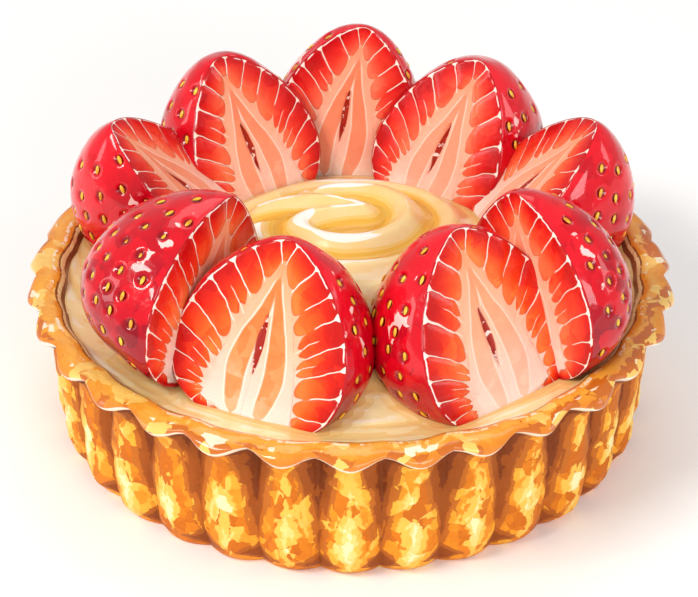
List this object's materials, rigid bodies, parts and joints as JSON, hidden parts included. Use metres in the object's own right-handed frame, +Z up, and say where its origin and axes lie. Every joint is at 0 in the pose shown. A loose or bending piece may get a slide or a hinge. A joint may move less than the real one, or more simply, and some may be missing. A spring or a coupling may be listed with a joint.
{
  "type": "strawberry tart",
  "caption": "Round fluted pastry shell filled with swirled custard, topped by a standing ring of cut strawberries that lean outwards.",
  "frame": {"origin": "middle of the shell's flat underside", "axes": "+Z up, and -Y the front, where two cut strawberries face outwards"},
  "size_m": [0.1194, 0.12, 0.0598],
  "materials": {
    "pastry": "baked golden shortcrust with an egg-washed rim",
    "custard": "soft, glossy cream custard",
    "strawberry": "glossy red skin with a moist cut face"
  },
  "bodies": {
    "root": {"shell": "pastry", "custard": "custard", "berry_front_left": "strawberry", "berry_front_right": "strawberry", "berry_left_front": "strawberry", "berry_right_front": "strawberry", "berry_left": "strawberry", "berry_right": "strawberry", "berry_back_left": "strawberry", "berry_back_right": "strawberry", "berry_back": "strawberry"}
  },
  "joints": []
}
